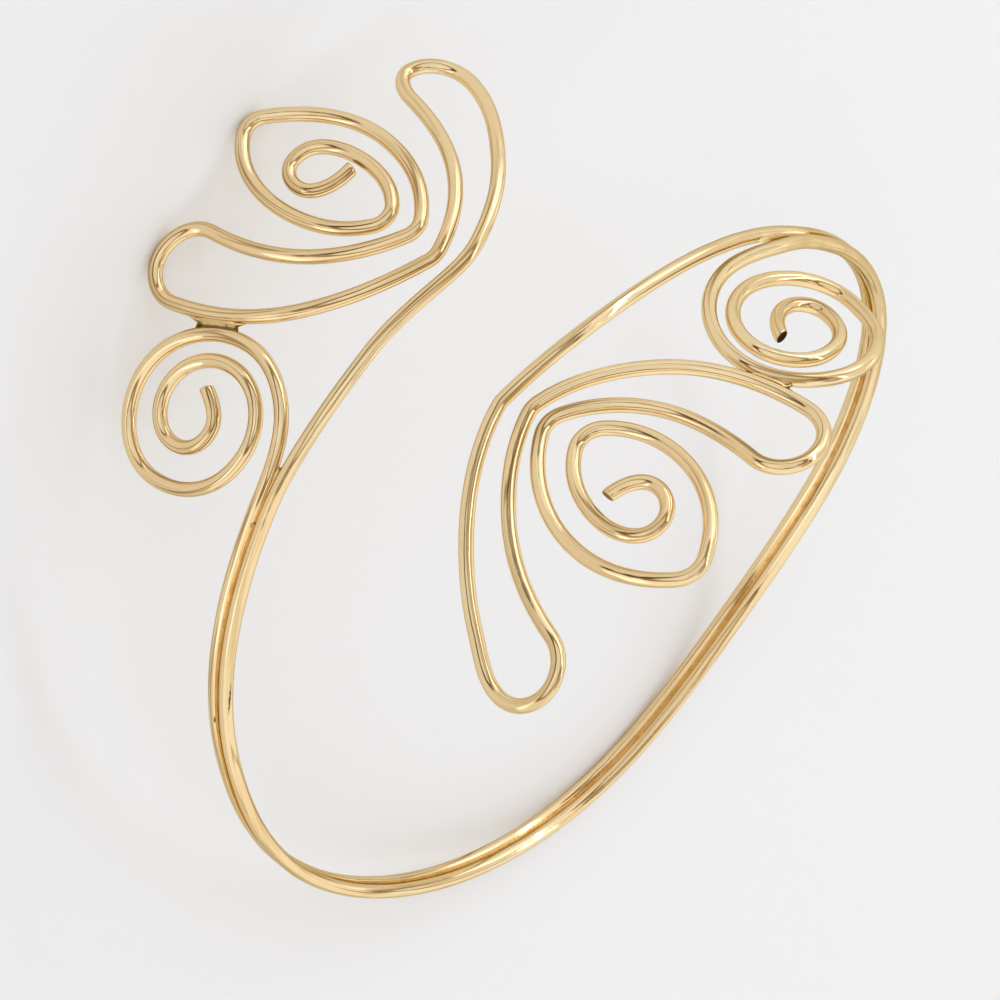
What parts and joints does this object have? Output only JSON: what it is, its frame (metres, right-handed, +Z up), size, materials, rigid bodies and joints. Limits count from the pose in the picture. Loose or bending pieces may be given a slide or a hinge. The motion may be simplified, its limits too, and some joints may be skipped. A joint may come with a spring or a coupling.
{
  "type": "upper arm cuff",
  "caption": "Open upper arm cuff bent from two round gold wires: a twin wire band whose ends part into a coiled scroll, long petals and a wound almond, one flower above the other at the front.",
  "frame": {"origin": "under the middle of the cuff's box, at the height of the surface it lies on", "axes": "+Z up from the surface the cuff lies on, -Y towards the two flowers at its front, +X to the right of someone facing the flowers. The arm goes in along the hoop's axis, which leans 21.0 degrees from +Z towards +Y"},
  "size_m": [0.0864, 0.0982, 0.0671],
  "materials": {
    "gold_wire": "polished, gold plated"
  },
  "bodies": {
    "root": {"cuff": "gold_wire"}
  },
  "joints": []
}
